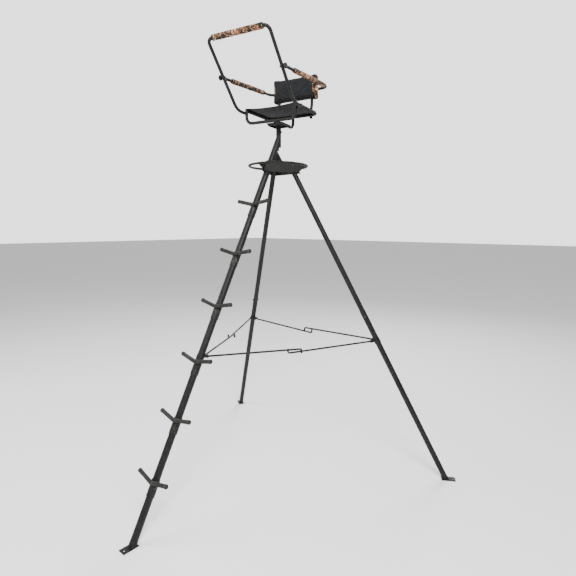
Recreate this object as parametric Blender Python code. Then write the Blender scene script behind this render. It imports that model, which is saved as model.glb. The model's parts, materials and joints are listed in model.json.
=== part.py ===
"""Tripod hunting stand: a ladder leg and two folding rear legs carry a swivel seat with a shooting rail."""

import math

import bmesh
import bpy
from mathutils import Matrix, Vector

# Driving dimensions, metres. The hub axis is vertical; the ladder leg points to -Y.
GAP = 0.0003
FOOT_RADIUS = 1.5285
LEAN_SLOPE = 0.5166
LADDER_AZIMUTH, LEG_B_AZIMUTH, LEG_C_AZIMUTH = -90.0, 150.0, 30.0

LADDER_D, LADDER_WALL = 0.0550, 0.0020
LADDER_TOP_Z, LADDER_CUT_Z = 3.019, 2.80
LEG_LOWER_D, LEG_LOWER_WALL = 0.0490, 0.0016
LEG_UPPER_D, LEG_UPPER_WALL = 0.0452, 0.0016
LEG_SPLIT_Z, LEG_SOCKET = 1.50, 0.15
LEG_TOP_Z, LEG_PIVOT_Z = 2.775, 2.735

STEP_COUNT, STEP_FIRST_Z, STEP_RISE = 6, 0.388, 0.4004
STEP_BAR_D, STEP_HALF_SPAN, STEP_TIP_RISE, STEP_OUTSET = 0.032, 0.170, 0.033, 0.035
SLEEVE_D, SLEEVE_UP, SLEEVE_DOWN = 0.0626, 0.026, 0.095
LADDER_SPLIT_STEPS = (2, 4)

PLATE_T, PLATE_HALF_W, PLATE_IN, PLATE_OUT = 0.005, 0.033, 0.038, 0.082
STAKE_HOLE_D, STAKE_HOLE_OUT = 0.014, 0.060
FOOT_EXTENT = FOOT_RADIUS + PLATE_OUT
HUB_Y = (FOOT_EXTENT * (1 - math.sin(math.radians(30))) - PLATE_HALF_W * math.cos(math.radians(30))) / 2

RING_Z, RING_R, RING_BAR_D, RING_SEAT = 2.7466, 0.252, 0.0215, 0.006
HUB_PLATE_T, HUB_PLATE_LOW_Z, HUB_PLATE_HIGH_Z = 0.005, 2.680, 2.775
HUB_PLATE_OVERHANG, HUB_PLATE_PROW, HUB_PLATE_SHOULDER = 0.030, 0.038, 0.020
REAR_PLATE_DROP, REAR_PLATE_CLEAR, REAR_PLATE_INSET = 0.008, 0.003, 0.004
GUSSET_LOW_Z, GUSSET_HIGH_Z, STRUT_TOP_Z, STRUT_LOW_Z, STRUT_HEEL = 2.680, 2.742, 2.885, 2.752, 0.020
PIVOT_BOLT_D, BOLT_HEAD_T, BOLT_HEAD_RATIO, SPACER_RATIO, HEX = 0.010, 0.007, 1.9, 1.6, 6

BRACE_Z, BRACE_BAR_D, BRACE_LAP, BRACE_SAG, BRACE_STUB = 1.231, 0.0160, 0.110, 0.024, 0.036
BRACE_LEVEL_SHARE = 0.55
BRACE_EAR_REACH, BRACE_OFFSET, BRACE_PIN_D, BRACE_EYE_D = 0.050, 0.0128, 0.008, 0.028
BRACE_EYE_BITE, EAR_TAPER, COLLAR_BITE = 0.003, 0.9, 0.0012
EAR_T, EAR_HALF_H, EAR_PAST_PIN, BRACE_PIN_SPARE = 0.005, 0.012, 0.010, 0.006
COLLAR_H, COLLAR_WALL = 0.040, 0.003

POST_D, POST_WALL, POST_LOW_Z, POST_TOP_Z = 0.0440, 0.0050, 2.905, 3.076
POST_Y = 0.006
SPINDLE_D, SPINDLE_TAIL_D, SPINDLE_TAIL = 0.0320, 0.010, 0.030
SPINDLE_FLANGE_D, SPINDLE_SIDES, GROOVE_H, GROOVE_D = 0.060, 24, 0.011, 0.0236
WASHER_D, WASHER_WALL = 0.052, 0.0095
SPINDLE_START, SET_PIN_DEPTH, SET_PIN_OUT = 0.010, 0.0035, 0.012
SWIVEL_SIDE, SWIVEL_PLATE_T, SWIVEL_LOW_Z, FLANGE_T = 0.150, 0.004, 3.096, 0.010
SET_PIN_D, SET_PIN_DROP = 0.008, 0.045

SEAT_YAW = 11.8
SEAT_TUBE_D, SEAT_TUBE_WALL = 0.0270, 0.0016
SEAT_RAIL_X, SEAT_FRONT_Y, SEAT_REAR_Y, SEAT_FRAME_Z, SLING_T = 0.241, -0.132, 0.262, 3.210, 0.003
HOOP_Z = 3.101
SEAT_BEND, HOOP_BEND, POST_BEND, ARMREST_BEND = 0.045, 0.055, 0.035, 0.070
RAIL_KNEE_BEND, RAIL_TOP_BEND, PAD_FIT = 0.130, 0.041, 0.0008
BACK_JOG_LOW, BACK_JOG_HIGH, PAD_SOCKET, PAD_BEVEL = 0.045, 0.110, 0.020, 0.022
RAIL_ARM_X, RAIL_PIVOT_Z, RAIL_TAIL_Y, RAIL_KNEE_Y = 0.2714, 3.198, -0.108, -0.230
RAIL_TOP_Y, RAIL_TOP_Z, RAIL_PAD_HALF, RAIL_PAD_D = -0.609, 3.633, 0.226, 0.046
ARMREST_X, ARMREST_D, ARMREST_REAR_Y, ARMREST_REAR_Z = 0.2885, 0.0254, 0.386, 3.462
ARMREST_FRONT_Y, ARMREST_PAD_D = -0.385, 0.042
ARMREST_PAD_ENDS = {"left": (-0.275, 0.222), "right": (-0.260, 0.300)}
CLIP_HALF_W, CLIP_WALL, CLIP_STUB_D, CLIP_STUB_CLEAR = 0.015, 0.003, 0.012, 0.0012
TAB_T, TAB_BEHIND, TAB_AHEAD, TAB_BELOW, TAB_ABOVE, TAB_SLACK = 0.004, 0.012, 0.014, 0.008, 0.014, 0.0015
KNOB_Y, KNOB_BOLT_D, KNOB_D, KNOB_T, KNOB_CLEAR = -0.4150, 0.008, 0.036, 0.016, 0.004
BACK_HALF_W, BACK_FRONT_Y, BACK_REAR_Y, BACK_LOW_Z, BACK_HIGH_Z = 0.228, 0.266, 0.350, 3.350, 3.566
BACK_POST_X, BACK_POST_Y, BACK_POST_LOW_Z, BACK_POST_HIGH_Z = 0.168, 0.304, 3.190, 3.510

TUBE_SIDES, BAR_SIDES, BEND_STEPS = 14, 10, 4

UP = Vector((0, 0, 1))
HUB = Vector((0, HUB_Y, 0))
POST = Vector((0, HUB_Y + POST_Y, 0))


# Materials ---------------------------------------------------------------------------------------
def material(name, colour, roughness, metallic):
    found = bpy.data.materials.new(name)
    found.use_nodes = True
    shader = found.node_tree.nodes["Principled BSDF"]
    shader.inputs["Base Color"].default_value = (*colour, 1.0)
    shader.inputs["Roughness"].default_value = roughness
    shader.inputs["Metallic"].default_value = metallic
    return found


for leftover in list(bpy.data.objects):
    bpy.data.objects.remove(leftover, do_unlink=True)

POWDER = material("powder_coat_black", (0.018, 0.018, 0.019), 0.55, 0.3)
STEEL = material("blackened_steel", (0.06, 0.06, 0.06), 0.42, 1.0)
PLASTIC = material("black_plastic", (0.015, 0.015, 0.015), 0.5, 0.0)
FABRIC = material("black_fabric", (0.012, 0.012, 0.013), 0.9, 0.0)
CAMO = material("camo_fabric", (0.30, 0.19, 0.11), 0.9, 0.0)


# Geometry helpers --------------------------------------------------------------------------------
def empty(name, position, parent=None, yaw=0.0):
    """A joint's frame. Pieces hung on it keep their parent's axes unless it turns its own."""
    holder = bpy.data.objects.new(name, None)
    bpy.context.collection.objects.link(holder)
    holder.parent = parent
    holder.matrix_basis = Matrix.Translation(position) @ Matrix.Rotation(math.radians(yaw), 4, "Z")
    holder["own_axes"] = bool(yaw)
    return holder


def node(name, shape, look, parent=None):
    """Turns a bmesh into a named object with one material."""
    bmesh.ops.recalc_face_normals(shape, faces=shape.faces)
    mesh = bpy.data.meshes.new(name)
    shape.to_mesh(mesh)
    shape.free()
    mesh.materials.append(look)
    made = bpy.data.objects.new(name, mesh)
    bpy.context.collection.objects.link(made)
    made.parent = parent
    if parent and not parent["own_axes"]:
        made.matrix_parent_inverse = parent.matrix_basis.inverted()
    return made


def finish(made):
    for face in made.data.polygons:
        face.use_smooth = True
    made.data.set_sharp_from_angle(angle=math.radians(35))
    return made


def boolean(target, tool, operation):
    """Applies one exact boolean and removes the tool."""
    step = target.modifiers.new("step", "BOOLEAN")
    step.operation, step.solver, step.object = operation, "EXACT", tool
    bpy.context.view_layer.update()
    result = bpy.data.meshes.new_from_object(target.evaluated_get(bpy.context.evaluated_depsgraph_get()))
    target.modifiers.clear()
    old, target.data = target.data, result
    result.name = target.name
    bpy.data.meshes.remove(old)
    spent = tool.data
    bpy.data.objects.remove(tool, do_unlink=True)
    bpy.data.meshes.remove(spent)
    return target


def join(target, *shapes):
    for shape in shapes:
        boolean(target, node("tool", shape, target.data.materials[0], target.parent), "UNION")
    return target


def cut(target, *shapes):
    for shape in shapes:
        boolean(target, node("tool", shape, target.data.materials[0], target.parent), "DIFFERENCE")
    return target


def rounded(corners, radius):
    """Replaces each inner corner of a path with an arc; one radius for all, or a tuple with one for each."""
    points = [Vector(corners[0])]
    radii = radius if isinstance(radius, tuple) else (radius,) * (len(corners) - 2)
    for before, corner, after, radius in zip(corners, corners[1:], corners[2:], radii):
        before, corner, after = Vector(before), Vector(corner), Vector(after)
        into, out = (corner - before).normalized(), (after - corner).normalized()
        turn = into.angle(out)
        back = radius * math.tan(turn / 2)
        start, end = corner - into * back, corner + out * back
        axis = into.cross(out).normalized()
        centre = start + axis.cross(into) * radius
        for index in range(BEND_STEPS + 1):
            swing = Matrix.Rotation(turn * index / BEND_STEPS, 3, axis)
            points.append(centre + swing @ (start - centre))
        assert (points[-1] - end).length < GAP
    points.append(Vector(corners[-1]))
    return points


def rings(shape, path, radius, sides, closed=False):
    """Circular sections along a path, carried without twist."""
    count = len(path)
    tangents = []
    for index in range(count):
        before = path[index - 1] if (index or closed) else path[0]
        after = path[(index + 1) % count] if (index < count - 1 or closed) else path[-1]
        tangents.append((after - before).normalized())
    side = tangents[0].orthogonal().normalized()
    loops = []
    for point, tangent in zip(path, tangents):
        side = (side - tangent * side.dot(tangent)).normalized()
        other = tangent.cross(side)
        loops.append([
            shape.verts.new(point + (side * math.cos(a) + other * math.sin(a)) * radius)
            for a in (2 * math.pi * k / sides for k in range(sides))
        ])
    return loops


def skin(shape, first, second):
    count = len(first)
    for index in range(count):
        after = (index + 1) % count
        shape.faces.new((first[index], first[after], second[after], second[index]))


def tube(path, diameter, wall, sides=TUBE_SIDES):
    """An open-ended hollow tube along a path."""
    shape = bmesh.new()
    outer = rings(shape, path, diameter / 2, sides)
    inner = rings(shape, path, diameter / 2 - wall, sides)
    for loops in (outer, inner):
        for first, second in zip(loops, loops[1:]):
            skin(shape, first, second)
    skin(shape, outer[0], inner[0])
    skin(shape, outer[-1], inner[-1])
    return shape


def bar(path, diameter, sides=BAR_SIDES):
    """A solid round bar along a path."""
    shape = bmesh.new()
    loops = rings(shape, path, diameter / 2, sides)
    for first, second in zip(loops, loops[1:]):
        skin(shape, first, second)
    shape.faces.new(loops[0])
    shape.faces.new(loops[-1])
    return shape


def rod(start, end, diameter, sides=BAR_SIDES):
    return bar([Vector(start), Vector(end)], diameter, sides)


def hoop(centre, radius, diameter, steps, sides):
    """A closed ring of round bar lying level."""
    shape = bmesh.new()
    angles = [2 * math.pi * k / steps for k in range(steps)]
    path = [centre + Vector((math.cos(a), math.sin(a), 0)) * radius for a in angles]
    loops = rings(shape, path, diameter / 2, sides, closed=True)
    for index in range(steps):
        skin(shape, loops[index], loops[(index + 1) % steps])
    return shape


def prism(outline, thickness, normal):
    """A flat plate: the outline's loop carried along the normal by its thickness."""
    shape = bmesh.new()
    lift = Vector(normal).normalized() * thickness
    low = [shape.verts.new(Vector(p)) for p in outline]
    high = [shape.verts.new(Vector(p) + lift) for p in outline]
    skin(shape, low, high)
    shape.faces.new(low)
    shape.faces.new(high)
    return shape


def block(low, high, bevel=0.0, segments=2):
    shape = bmesh.new()
    bmesh.ops.create_cube(shape, size=1.0)
    low, high = Vector(low), Vector(high)
    bmesh.ops.scale(shape, vec=high - low, verts=shape.verts)
    bmesh.ops.translate(shape, vec=(low + high) / 2, verts=shape.verts)
    if bevel:
        bmesh.ops.bevel(shape, geom=shape.edges[:], offset=bevel, segments=segments,
                        profile=0.5, affect="EDGES")
    return shape


def radial(azimuth):
    return Vector((math.cos(math.radians(azimuth)), math.sin(math.radians(azimuth)), 0))


def on_leg(azimuth, height):
    """The leg's centre line at a height."""
    return HUB + radial(azimuth) * (FOOT_RADIUS - LEAN_SLOPE * height) + UP * height


def leg_up(azimuth):
    return (on_leg(azimuth, 1) - on_leg(azimuth, 0)).normalized()


# Legs and ladder ---------------------------------------------------------------------------------
def foot_plate(name, azimuth, parent=None):
    out, side = radial(azimuth), radial(azimuth + 90)
    corners = ((-PLATE_IN, -1), (PLATE_OUT, -1), (PLATE_OUT, 1), (-PLATE_IN, 1))
    outline = [HUB + out * (FOOT_RADIUS + reach) + side * PLATE_HALF_W * across for reach, across in corners]
    made = node(name, prism(outline, PLATE_T, UP), POWDER, parent)
    hole = HUB + out * (FOOT_RADIUS + STAKE_HOLE_OUT)
    return finish(cut(made, rod(hole - UP * PLATE_T, hole + UP * 2 * PLATE_T, STAKE_HOLE_D, TUBE_SIDES)))


def leg_foot_height(azimuth, diameter):
    """Height of a square-cut tube's centre so that its lowest edge stands just above the foot plate."""
    return PLATE_T + GAP + diameter / 2 * math.sin(leg_up(azimuth).angle(UP))


def step_height(number):
    return STEP_FIRST_Z + STEP_RISE * (number - 1)


def ladder_section(name, low, high):
    path = [on_leg(LADDER_AZIMUTH, low), on_leg(LADDER_AZIMUTH, high)]
    return finish(node(name, tube(path, LADDER_D, LADDER_WALL), POWDER))


def ladder_step(number):
    up = leg_up(LADDER_AZIMUTH)
    centre = on_leg(LADDER_AZIMUTH, step_height(number))
    out = up.cross(Vector((1, 0, 0)))
    if out.y > 0:
        out = -out
    sleeve = rod(centre - up * SLEEVE_DOWN, centre + up * SLEEVE_UP, SLEEVE_D, TUBE_SIDES)
    made = node(f"ladder_step_{number}", sleeve, POWDER)
    middle = centre + out * STEP_OUTSET
    tips = [middle + Vector((side * STEP_HALF_SPAN, 0, 0)) + up * STEP_TIP_RISE for side in (-1, 1)]
    join(made, bar(rounded([tips[0], middle, tips[1]], STEP_BAR_D * 2), STEP_BAR_D))
    bore = LADDER_D + 2 * GAP
    return finish(cut(made, rod(centre - up * SLEEVE_D * 2, centre + up * SLEEVE_D, bore, TUBE_SIDES)))


def build_ladder():
    foot_plate("foot_plate_a", LADDER_AZIMUTH)
    low = leg_foot_height(LADDER_AZIMUTH, LADDER_D)
    first, second = (step_height(number) for number in LADDER_SPLIT_STEPS)
    ladder_section("ladder_lower", low, first - GAP)
    ladder_section("ladder_middle", first + GAP, second - GAP)
    upper = ladder_section("ladder_upper", second + GAP, LADDER_TOP_Z)
    face = POST.y - POST_D / 2 - GAP
    beyond = face + 4 * LADDER_D
    finish(cut(upper, block((-LADDER_D, face, LADDER_CUT_Z), (LADDER_D, beyond, LADDER_TOP_Z + LADDER_D))))
    for number in range(1, STEP_COUNT + 1):
        ladder_step(number)


def bolt(name, centre, axis, spans, look, parent=None):
    """A bolt built of lengths on one axis; each span is its two distances along it, a diameter and sides."""
    shank, *others = (rod(centre + axis * start, centre + axis * end, diameter, sides)
                      for start, end, diameter, sides in spans)
    return join(node(name, shank, look, parent), *others)


def clamp_spans(inner, outer, diameter):
    """A shank with a hexagonal head outside one face and a nut outside the other."""
    head = BOLT_HEAD_T if outer > inner else -BOLT_HEAD_T
    wide = diameter * BOLT_HEAD_RATIO
    return [(inner - head, outer + head, diameter, BAR_SIDES), (inner - head, inner, wide, HEX),
            (outer, outer + head, wide, HEX)]


def rear_leg(letter, azimuth, parent, pivot_axis):
    up, side = leg_up(azimuth), radial(azimuth + 90)
    foot_plate(f"foot_plate_{letter}", azimuth, parent)
    low = leg_foot_height(azimuth, LEG_LOWER_D)
    lower = node(f"leg_{letter}_lower",
                 tube([on_leg(azimuth, low), on_leg(azimuth, LEG_SPLIT_Z)], LEG_LOWER_D, LEG_LOWER_WALL),
                 POWDER, parent)
    bottom = on_leg(azimuth, LEG_SPLIT_Z) - up * LEG_SOCKET
    upper = node(f"leg_{letter}_upper", tube([bottom, on_leg(azimuth, LEG_TOP_Z)], LEG_UPPER_D, LEG_UPPER_WALL),
                 POWDER, parent)
    joint = on_leg(azimuth, LEG_SPLIT_Z) - up * LEG_SOCKET * 0.4
    reach = side * LEG_LOWER_D
    bore = PIVOT_BOLT_D + 2 * GAP
    cut(lower, rod(joint - reach, joint + reach, bore))
    cut(upper, rod(joint - reach, joint + reach, bore))
    pivot = on_leg(azimuth, LEG_PIVOT_Z)
    across = pivot_axis * LEG_LOWER_D
    cut(upper, rod(pivot - across, pivot + across, bore))
    finish(lower)
    finish(upper)
    grip = LEG_LOWER_D / 2 + GAP
    finish(bolt(f"leg_{letter}_joint_bolt", joint, side, clamp_spans(-grip, grip, PIVOT_BOLT_D), STEEL, parent))


# Hub ---------------------------------------------------------------------------------------------
def side_normal(leg_azimuth):
    """Outward normal of the plane holding the ladder's and a rear leg's centre lines."""
    normal = leg_up(LADDER_AZIMUTH).cross(leg_up(leg_azimuth)).normalized()
    middle = (radial(LADDER_AZIMUTH) + radial(leg_azimuth)).normalized()
    return normal if normal.dot(middle) > 0 else -normal


def hub_plate(letter, azimuth):
    """A plate welded to the ladder's side; it carries one rear leg's pivot and props the foot ring."""
    normal = side_normal(azimuth)
    lift = normal * (LADDER_D / 2 + GAP)
    low_a, high_a = (on_leg(LADDER_AZIMUTH, z) + lift for z in (HUB_PLATE_LOW_Z, HUB_PLATE_HIGH_Z))
    low_b, high_b = (on_leg(azimuth, z) + lift for z in (HUB_PLATE_LOW_Z, HUB_PLATE_HIGH_Z))
    along = (low_b - low_a).normalized()
    inner_rim = RING_R - RING_BAR_D / 2 - 1.3 * HUB_PLATE_T
    at_ring = on_leg(azimuth, RING_Z) + lift - HUB
    sideways = at_ring.xy.dot(along.xy)
    reach = math.sqrt(sideways ** 2 + inner_rim ** 2 - at_ring.xy.length_squared) - sideways
    rim = [on_leg(azimuth, RING_Z + side * RING_SEAT) + lift + along * reach for side in (-1, 1)]
    prow = along * HUB_PLATE_PROW
    outline = [low_a - prow, low_b + along * HUB_PLATE_OVERHANG, *rim,
               high_b + along * HUB_PLATE_SHOULDER, high_a - prow]
    made = node(f"hub_plate_{letter}", prism(outline, HUB_PLATE_T, normal), POWDER)
    pivot = on_leg(azimuth, LEG_PIVOT_Z)
    cut(made, rod(pivot, pivot + normal * LADDER_D, PIVOT_BOLT_D + 2 * GAP))
    finish(made)
    inside = LEG_UPPER_D / 2 + GAP
    outside = LADDER_D / 2 + HUB_PLATE_T + 2 * GAP
    spans = clamp_spans(-inside, outside, PIVOT_BOLT_D)
    spans.append((inside, LADDER_D / 2, PIVOT_BOLT_D * SPACER_RATIO, BAR_SIDES))
    finish(bolt(f"leg_{letter}_pivot_bolt", pivot, normal, spans, STEEL))


def rear_plate():
    """The short plate that ties the two side plates together behind the rear legs."""
    low, high = HUB_PLATE_LOW_Z, LEG_PIVOT_Z - REAR_PLATE_DROP
    edge = []
    for z in (low, high):
        behind = on_leg(LEG_C_AZIMUTH, z) + Vector((0, LEG_LOWER_D / 2 + REAR_PLATE_CLEAR, 0))
        normal = side_normal(LEG_C_AZIMUTH)
        offset = LADDER_D / 2 - GAP
        reach = (on_leg(LEG_C_AZIMUTH, z) + normal * offset - behind).dot(normal) / normal.x
        edge.append(Vector((behind.x + reach - REAR_PLATE_INSET, behind.y, z)))
    mirror = [Vector((-p.x, p.y, p.z)) for p in edge]
    outline = [mirror[0], edge[0], edge[1], mirror[1]]
    shape = prism(outline, HUB_PLATE_T, Vector((0, 1, 0)))
    finish(node("hub_plate_rear", shape, POWDER))
    return edge[1]


def build_hub():
    finish(node("foot_ring", hoop(HUB + UP * RING_Z, RING_R, RING_BAR_D, 44, 8), POWDER))
    up = leg_up(LADDER_AZIMUTH)
    back = (LADDER_D / 2 + GAP) * up.cross(Vector((1, 0, 0))).normalized()
    back = back if back.y > 0 else -back
    low, high = (on_leg(LADDER_AZIMUTH, z) - back for z in (GUSSET_LOW_Z, GUSSET_HIGH_Z))
    rim = HUB + radial(LADDER_AZIMUTH) * (RING_R - RING_BAR_D / 2 - GAP)
    outline = [low, high, rim + UP * (RING_Z + RING_SEAT), rim + UP * (RING_Z - RING_SEAT)]
    half = Vector((HUB_PLATE_T / 2, 0, 0))
    shape = prism([p - half for p in outline], HUB_PLATE_T, Vector((1, 0, 0)))
    finish(node("ring_gusset", shape, POWDER))
    for letter, azimuth in (("b", LEG_B_AZIMUTH), ("c", LEG_C_AZIMUTH)):
        hub_plate(letter, azimuth)
    corner = rear_plate()
    top, bottom = (on_leg(LADDER_AZIMUTH, z) + back for z in (STRUT_TOP_Z, STRUT_LOW_Z))
    foot = Vector((0, corner.y, corner.z + GAP))
    outline = [top, bottom, foot, foot + Vector((0, HUB_PLATE_T, 0)), foot + Vector((0, HUB_PLATE_T, STRUT_HEEL))]
    shape = prism([p - half * 2 for p in outline], 2 * HUB_PLATE_T, Vector((1, 0, 0)))
    finish(node("back_strut", shape, POWDER))


# Braces ------------------------------------------------------------------------------------------
def brace_frame(from_azimuth, to_azimuth):
    """Direction from one leg to the next, and the normal of the plane the rods fold in."""
    start, end = on_leg(from_azimuth, BRACE_Z), on_leg(to_azimuth, BRACE_Z)
    along = (end - start).normalized()
    normal = along.cross(leg_up(from_azimuth)).normalized()
    return start, along, normal, (end - start).length


def brace_bracket(letter, azimuth, diameter, neighbours, parent=None):
    """A collar round the leg with one ear and pin for each brace rod."""
    up, centre = leg_up(azimuth), on_leg(azimuth, BRACE_Z)
    outer = diameter + 2 * (GAP + COLLAR_WALL)
    made = node(f"brace_bracket_{letter}",
                tube([centre - up * COLLAR_H / 2, centre + up * COLLAR_H / 2], outer, COLLAR_WALL), POWDER, parent)
    for other in neighbours:
        _, along, normal, _ = brace_frame(azimuth, other)
        ear = along * BRACE_EAR_REACH
        start = centre + along * (outer / 2 - COLLAR_BITE) / along.cross(up).length
        half, depth, tip = up * EAR_HALF_H, normal * EAR_T / 2, centre + ear + along * EAR_PAST_PIN
        outline = [start - half, tip - half * EAR_TAPER, tip + half * EAR_TAPER, start + half]
        join(made, prism([p - depth for p in outline], EAR_T, normal))
        reach = normal * (EAR_T / 2 + BRACE_BAR_D + BRACE_PIN_SPARE)
        join(made, rod(centre + ear - reach, centre + ear + reach, BRACE_PIN_D))
    return finish(made)


def brace_rod(name, from_azimuth, to_azimuth, side, stub, parent):
    """Half of a brace: an eye on the bracket's pin, a rod to the middle and a hooked end."""
    start, along, normal, span = brace_frame(from_azimuth, to_azimuth)
    offset = normal * side * BRACE_OFFSET
    eye = start + along * BRACE_EAR_REACH + offset
    end = start + along * (span + BRACE_LAP) / 2 + offset - UP * BRACE_SAG * (1 + stub * BRACE_LEVEL_SHARE)
    across = (end - eye).normalized()
    hook = end + UP * stub * BRACE_STUB
    begin = eye + across * (BRACE_EYE_D / 2 - BRACE_EYE_BITE)
    made = node(name, bar(rounded([begin, end, hook], BRACE_BAR_D), BRACE_BAR_D), POWDER, parent)
    half = normal * BRACE_BAR_D / 2
    join(made, rod(eye - half, eye + half, BRACE_EYE_D, TUBE_SIDES))
    cut(made, rod(eye - half * 2, eye + half * 2, BRACE_PIN_D + 2 * GAP, TUBE_SIDES))
    return finish(made)


# Seat post and swivel ----------------------------------------------------------------------------
PIN_Z = POST_TOP_Z - SET_PIN_DROP


def build_post():
    post = node("seat_post", tube([POST + UP * POST_LOW_Z, POST + UP * POST_TOP_Z], POST_D, POST_WALL), POWDER)
    outside = Vector((POST_D, 0, 0))
    finish(cut(post, rod(POST + UP * PIN_Z, POST + UP * PIN_Z + outside, SET_PIN_D + 2 * GAP)))
    top = SWIVEL_LOW_Z - FLANGE_T - GAP
    washer = tube([POST + UP * (POST_TOP_Z + GAP), POST + UP * top], WASHER_D, WASHER_WALL, TUBE_SIDES)
    finish(node("swivel_bearing", washer, PLASTIC))
    tip, end = SPINDLE_D / 2 - SET_PIN_DEPTH, POST_D / 2 + SET_PIN_OUT
    spans = [(tip, end, SET_PIN_D, BAR_SIDES), (POST_D / 2 + GAP, end, 2 * SET_PIN_D, HEX)]
    finish(bolt("swivel_set_pin", POST + UP * PIN_Z, Vector((1, 0, 0)), spans, STEEL))


def build_swivel(seat):
    """The turning plate and its spindle; a set pin in the spindle's groove keeps it in the post."""
    half = SWIVEL_SIDE / 2
    plate = block((-half, -half, SWIVEL_LOW_Z), (half, half, SWIVEL_LOW_Z + SWIVEL_PLATE_T))
    finish(node("swivel_plate", plate, POWDER, seat))
    low, top = POST_LOW_Z + SPINDLE_START, SWIVEL_LOW_Z - GAP
    spans = [(low, top, SPINDLE_D, SPINDLE_SIDES), (top - FLANGE_T, top, SPINDLE_FLANGE_D, SPINDLE_SIDES),
             (POST_LOW_Z - SPINDLE_TAIL, low + SPINDLE_START, SPINDLE_TAIL_D, BAR_SIDES)]
    spindle = bolt("swivel_spindle", Vector(), UP, spans, STEEL, seat)
    groove = [Vector((0, 0, PIN_Z + side * GROOVE_H / 2)) for side in (-1, 1)]
    outside = SPINDLE_D + 2 * SPINDLE_START
    finish(cut(spindle, tube(groove, outside, (outside - GROOVE_D) / 2, SPINDLE_SIDES)))


# Seat: pieces are in the seat's axes, +X to the side, -Y forward, origin on the post's axis --------
def through(piece, x, y, z, bore, reach=0.03):
    """Drills a piece along X."""
    return cut(piece, rod((x - reach, y, z), (x + reach, y, z), bore))


def build_frame(seat):
    half = SEAT_TUBE_D / 2
    start = SEAT_FRONT_Y + half + GAP
    sides = [(-SEAT_RAIL_X, start, SEAT_FRAME_Z), (-SEAT_RAIL_X, SEAT_REAR_Y, SEAT_FRAME_Z),
             (SEAT_RAIL_X, SEAT_REAR_Y, SEAT_FRAME_Z), (SEAT_RAIL_X, start, SEAT_FRAME_Z)]
    finish(node("seat_frame", tube(rounded(sides, SEAT_BEND), SEAT_TUBE_D, SEAT_TUBE_WALL), POWDER, seat))
    top = SEAT_FRAME_Z + half
    corners = [(-SEAT_RAIL_X, SEAT_FRONT_Y, top), (-SEAT_RAIL_X, SEAT_FRONT_Y, HOOP_Z),
               (SEAT_RAIL_X, SEAT_FRONT_Y, HOOP_Z), (SEAT_RAIL_X, SEAT_FRONT_Y, top)]
    front = node("front_hoop", tube(rounded(corners, HOOP_BEND), SEAT_TUBE_D, SEAT_TUBE_WALL), POWDER, seat)
    for side in (-1, 1):
        through(front, side * SEAT_RAIL_X, SEAT_FRONT_Y, RAIL_PIVOT_Z, PIVOT_BOLT_D + 2 * GAP)
    finish(front)
    keel_z = SWIVEL_LOW_Z + SWIVEL_PLATE_T + GAP + half
    path = rounded([(0, start, keel_z), (0, SEAT_REAR_Y, keel_z),
                    (0, SEAT_REAR_Y, SEAT_FRAME_Z - half - GAP)], SEAT_BEND)
    finish(node("seat_keel", tube(path, SEAT_TUBE_D, SEAT_TUBE_WALL), POWDER, seat))
    low = (-SEAT_RAIL_X - half * 0.9, SEAT_FRONT_Y - half * 0.5, top + GAP)
    high = (SEAT_RAIL_X + half * 0.9, SEAT_REAR_Y + half * 0.8, top + GAP + SLING_T)
    finish(node("seat_sling", block(low, high), FABRIC, seat))


def build_back(seat):
    half = SEAT_TUBE_D / 2
    pad = node("backrest_pad", block((-BACK_HALF_W, BACK_FRONT_Y, BACK_LOW_Z),
                                     (BACK_HALF_W, BACK_REAR_Y, BACK_HIGH_Z), PAD_BEVEL, 3), FABRIC, seat)
    for name, side in (("left", -1), ("right", 1)):
        x, lower_y = side * BACK_POST_X, SEAT_REAR_Y + SEAT_TUBE_D + GAP
        corners = [(x, lower_y, BACK_POST_LOW_Z), (x, lower_y, SEAT_FRAME_Z + BACK_JOG_LOW),
                   (x, BACK_POST_Y, SEAT_FRAME_Z + BACK_JOG_HIGH), (x, BACK_POST_Y, BACK_POST_HIGH_Z)]
        path = rounded(corners, POST_BEND)
        finish(node(f"backrest_post_{name}", tube(path, SEAT_TUBE_D, SEAT_TUBE_WALL), POWDER, seat))
        socket = [(x, BACK_POST_Y, BACK_LOW_Z - PAD_SOCKET), (x, BACK_POST_Y, BACK_POST_HIGH_Z + GAP)]
        stub_y = (BACK_POST_Y + half + GAP, ARMREST_REAR_Y - ARMREST_D / 2 - CLIP_STUB_CLEAR)
        cut(pad, rod(*socket, SEAT_TUBE_D + 2 * GAP, TUBE_SIDES),
            rod((x, BACK_POST_Y, ARMREST_REAR_Z), (x, BACK_REAR_Y + PAD_SOCKET, ARMREST_REAR_Z), CLIP_STUB_D + 2 * GAP))
        run = [Vector((x + end * CLIP_HALF_W, ARMREST_REAR_Y, ARMREST_REAR_Z)) for end in (-1, 1)]
        clip = node(f"armrest_clip_{name}", tube(run, ARMREST_D + 2 * (CLIP_WALL + GAP), CLIP_WALL), POWDER, seat)
        join(clip, rod((x, stub_y[0], ARMREST_REAR_Z), (x, stub_y[1], ARMREST_REAR_Z), CLIP_STUB_D))
        finish(clip)
    finish(pad)


def rail_slope():
    """Direction of the rail's arms, from the knee to the top bar."""
    return Vector((0, RAIL_TOP_Y - RAIL_KNEE_Y, RAIL_TOP_Z - RAIL_PIVOT_Z)).normalized()


def knob_centre(side):
    slope = rail_slope()
    z = RAIL_PIVOT_Z + slope.z / slope.y * (KNOB_Y - RAIL_KNEE_Y)
    return Vector((side * RAIL_ARM_X, KNOB_Y, z))


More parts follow.
